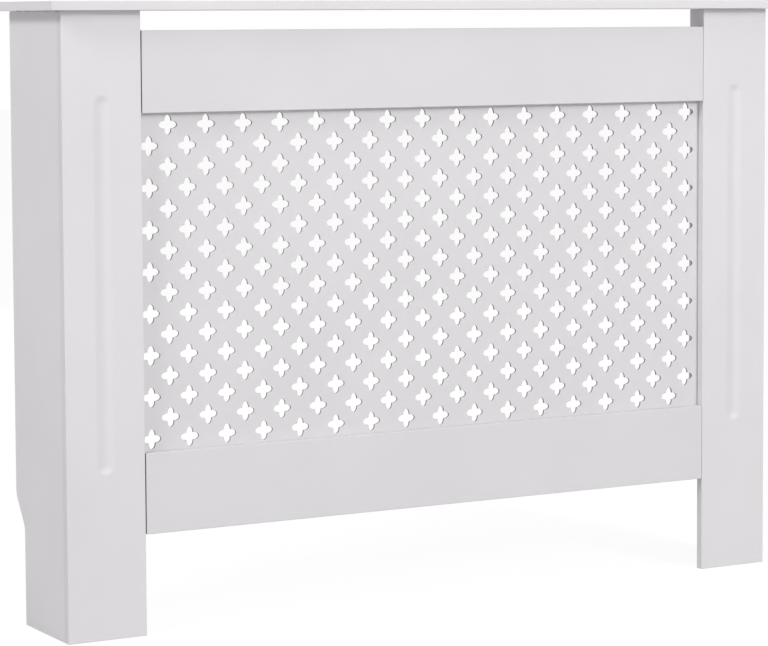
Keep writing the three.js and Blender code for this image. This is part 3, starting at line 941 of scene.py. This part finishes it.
def screws(prefix, head_direction):
    """Puts a screw in the place of every CAD screw with this prefix; the head faces one way."""
    low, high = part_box(nodes_named(prefix)[0])
    axis = longest_axis(low, high)
    master = screw_mesh(high[axis] - low[axis] - SCREW_HEAD_HEIGHT)
    for node in nodes_named(prefix):
        low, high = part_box(node)
        direction = head_direction(node)
        origin = (low + high) / 2
        outer = high[axis] if direction[axis] > 0 else low[axis]
        origin[axis] = outer - direction[axis] * SCREW_HEAD_HEIGHT
        screw = placed_copy(f"pan_head_{node}", master.data, placement(origin, direction, (0, 0, 1)))
        shade_evenly(screw)
        dress(screw, node, [SCREW_STEEL])
    bpy.data.meshes.remove(master.data)


def toward_wall(node):
    return (0, 1, 0)


def into_cabinet(node):
    return (1, 0, 0) if "_left_" in node else (-1, 0, 0)


def dowel_mesh(radius, length):
    """A grooved dowel along +Z with chamfered ends."""
    tip = radius - DOWEL_CHAMFER / 2
    profile = [(0, 0), (tip, 0), (radius, DOWEL_CHAMFER)]
    profile += [(radius, length - DOWEL_CHAMFER), (tip, length), (0, length)]
    groove = 1 - DOWEL_GROOVE_DEPTH / radius
    return turned(
        "dowel",
        profile,
        sides=DOWEL_GROOVE_SPACING * DOWEL_GROOVES,
        wobble=lambda k: groove if k % DOWEL_GROOVE_SPACING == 0 else 1.0,
    )


def dowels():
    """A grooved dowel for every CAD dowel; `across` is a direction at right angles to it."""
    for prefix, across in (("rail_dowel", (0, 0, 1)), ("side_dowel", (1, 0, 0))):
        for node in nodes_named(prefix):
            low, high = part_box(node)
            axis = longest_axis(low, high)
            radius = max(high[k] - low[k] for k in range(3) if k != axis) / 2
            origin = (low + high) / 2
            origin[axis] = low[axis]
            master = dowel_mesh(radius, high[axis] - low[axis])
            matrix = placement(origin, unit(axis), across)
            dowel = placed_copy(f"grooved_{node}", master.data, matrix)
            bpy.data.meshes.remove(master.data)
            shade_evenly(dowel)
            dress(dowel, node, [BEECH])


# ---- Brackets and bolts: their CAD nodes stay ----


def finish_nodes():
    """Metal for the bolts and the brackets, and softened edges for the brackets."""
    finishes = {"cam_bolt": SCREW_STEEL, "wall_bracket": BRACKET_STEEL}
    for prefix, material in finishes.items():
        for name in nodes_named(prefix):
            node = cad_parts[name]
            node.data.materials.clear()
            node.data.materials.append(material)
    for name in nodes_named("wall_bracket"):
        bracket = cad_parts[name]
        rounding = add_rounding(bracket, BRACKET_ROUNDING, BRACKET_SEGMENTS, BRACKET_ANGLE)
        rounding.harden_normals = True


top_board()
for position in ("upper", "lower"):
    rail_board(position)
for side in ("left", "right"):
    side_board(side)
    stile_board(side)
grille_panel()
cam_locks()
screws("grille_screw", toward_wall)
screws("bracket_screw", into_cabinet)
dowels()
finish_nodes()

# ---- Camera ----

CAMERA_POSITION = Vector((-1.93114, -3.35821, 0.78344))
CAMERA_YAW = 0.5125  # radians from +Y toward +X
CAMERA_PITCH = 0.0775  # radians down
CAMERA_ROLL = -0.0046  # radians
CAMERA_SENSOR = 36  # millimetres wide
CAMERA_LENS = 134.22
CAMERA_SHIFT_Y = -0.108
CAMERA_NEAREST = 0.05
CAMERA_FARTHEST = 60


def photograph_camera():
    """A camera at the photograph's place, with its view turned by yaw, pitch and roll."""
    yaw, pitch, roll = CAMERA_YAW, CAMERA_PITCH, CAMERA_ROLL
    level = math.cos(pitch)
    forward = Vector((math.sin(yaw) * level, math.cos(yaw) * level, -math.sin(pitch)))
    level_right = Vector((math.cos(yaw), -math.sin(yaw), 0))
    level_up = level_right.cross(forward)
    right = math.cos(roll) * level_right + math.sin(roll) * level_up
    up = math.cos(roll) * level_up - math.sin(roll) * level_right
    axes = Matrix((right, up, -forward)).transposed().to_4x4()
    data = bpy.data.cameras.new("photograph_camera")
    data.sensor_width = CAMERA_SENSOR
    data.lens = CAMERA_LENS
    data.shift_y = CAMERA_SHIFT_Y
    data.clip_start = CAMERA_NEAREST
    data.clip_end = CAMERA_FARTHEST
    camera = new_object("photograph_camera", data)
    camera.matrix_world = Matrix.Translation(CAMERA_POSITION) @ axes
    bpy.context.scene.camera = camera


# ---- Floor, world and lamps ----

WHITE = (1, 1, 1, 1)
AMBIENT = 0.485  # light of the world on the object; where it is seen it is white
FLOOR_SIZE = 40
FLOOR_ALBEDO = 0.6
FLOOR_GLOW = 1.19  # what the camera sees of the floor besides the light on it
FLOOR_SHADOW = 0.25  # share of the lit floor in what the camera sees


def seen_directly(tree):
    """1 for rays that show the background itself: camera, mirror-like and refracted ones."""
    path = tree.nodes.new("ShaderNodeLightPath")
    total = path.outputs["Is Camera Ray"]
    for name in ("Is Glossy Ray", "Is Transmission Ray"):
        add = tree.nodes.new("ShaderNodeMath")
        add.operation = "MAXIMUM"
        tree.links.new(total, add.inputs[0])
        tree.links.new(path.outputs[name], add.inputs[1])
        total = add.outputs[0]
    return total


def mixed(tree, factor, first, second):
    """A mix of two shaders by a number or an output."""
    mix = tree.nodes.new("ShaderNodeMixShader")
    if isinstance(factor, bpy.types.NodeSocket):
        tree.links.new(factor, mix.inputs[0])
    else:
        mix.inputs[0].default_value = factor
    tree.links.new(first, mix.inputs[1])
    tree.links.new(second, mix.inputs[2])
    return mix.outputs[0]


def white_world():
    """Lights the object at a plain level and is white where it is seen."""
    world = bpy.data.worlds.new("studio")
    bpy.context.scene.world = world
    world.use_nodes = True
    tree = world.node_tree
    tree.nodes.clear()
    backgrounds = []
    for strength in (AMBIENT, 1.0):
        background = tree.nodes.new("ShaderNodeBackground")
        background.inputs["Color"].default_value = WHITE
        background.inputs["Strength"].default_value = strength
        backgrounds.append(background.outputs[0])
    output = tree.nodes.new("ShaderNodeOutputWorld")
    tree.links.new(mixed(tree, seen_directly(tree), *backgrounds), output.inputs["Surface"])


def floor_material():
    """Pale and diffuse for the light it gives back; nearly white, with the shadow, where it is seen."""
    material = bpy.data.materials.new("studio_floor")
    material.use_nodes = True
    tree = material.node_tree
    tree.nodes.clear()
    diffuse = tree.nodes.new("ShaderNodeBsdfDiffuse")
    diffuse.inputs["Color"].default_value = (FLOOR_ALBEDO, FLOOR_ALBEDO, FLOOR_ALBEDO, 1)
    glow = tree.nodes.new("ShaderNodeEmission")
    glow.inputs["Strength"].default_value = FLOOR_GLOW
    seen = mixed(tree, FLOOR_SHADOW, glow.outputs[0], diffuse.outputs[0])
    surface = mixed(tree, seen_directly(tree), diffuse.outputs[0], seen)
    output = tree.nodes.new("ShaderNodeOutputMaterial")
    tree.links.new(surface, output.inputs["Surface"])
    return material


def floor():
    half = FLOOR_SIZE / 2
    corners = [(-half, -half, 0), (half, -half, 0), (half, half, 0), (-half, half, 0)]
    plane = new_object("studio_floor", mesh_from("studio_floor", corners, [(0, 1, 2, 3)]))
    plane.data.materials.append(floor_material())


def softbox(name, position, target, diameter, watts):
    """A round soft lamp that faces a target."""
    data = bpy.data.lights.new(name, "AREA")
    data.shape = "DISK"
    data.size = diameter
    data.energy = watts
    lamp = new_object(name, data)
    direction = Vector(target) - Vector(position)
    lamp.location = position
    lamp.rotation_euler = direction.to_track_quat("-Z", "Y").to_euler()


def lamps():
    """Two lamps in front and above, one for the left side and a weak one for the open back."""
    softbox("front_softbox", (1.0, -4.2, 1.95), target=(0, 0, 0.5), diameter=0.6, watts=52)
    softbox("left_softbox", (-3.6, -1.0, 3.0), target=(-0.3, 0, 0.5), diameter=1.3, watts=66)
    softbox("high_softbox", (1.3, -3.8, 2.7), target=(0, 0, 0.5), diameter=1.6, watts=38)
    softbox("rear_softbox", (0.6, 3.6, 1.6), target=(0, 0, 0.4), diameter=2.0, watts=22)


photograph_camera()
white_world()
floor()
lamps()
bpy.context.scene.view_settings.view_transform = "Standard"
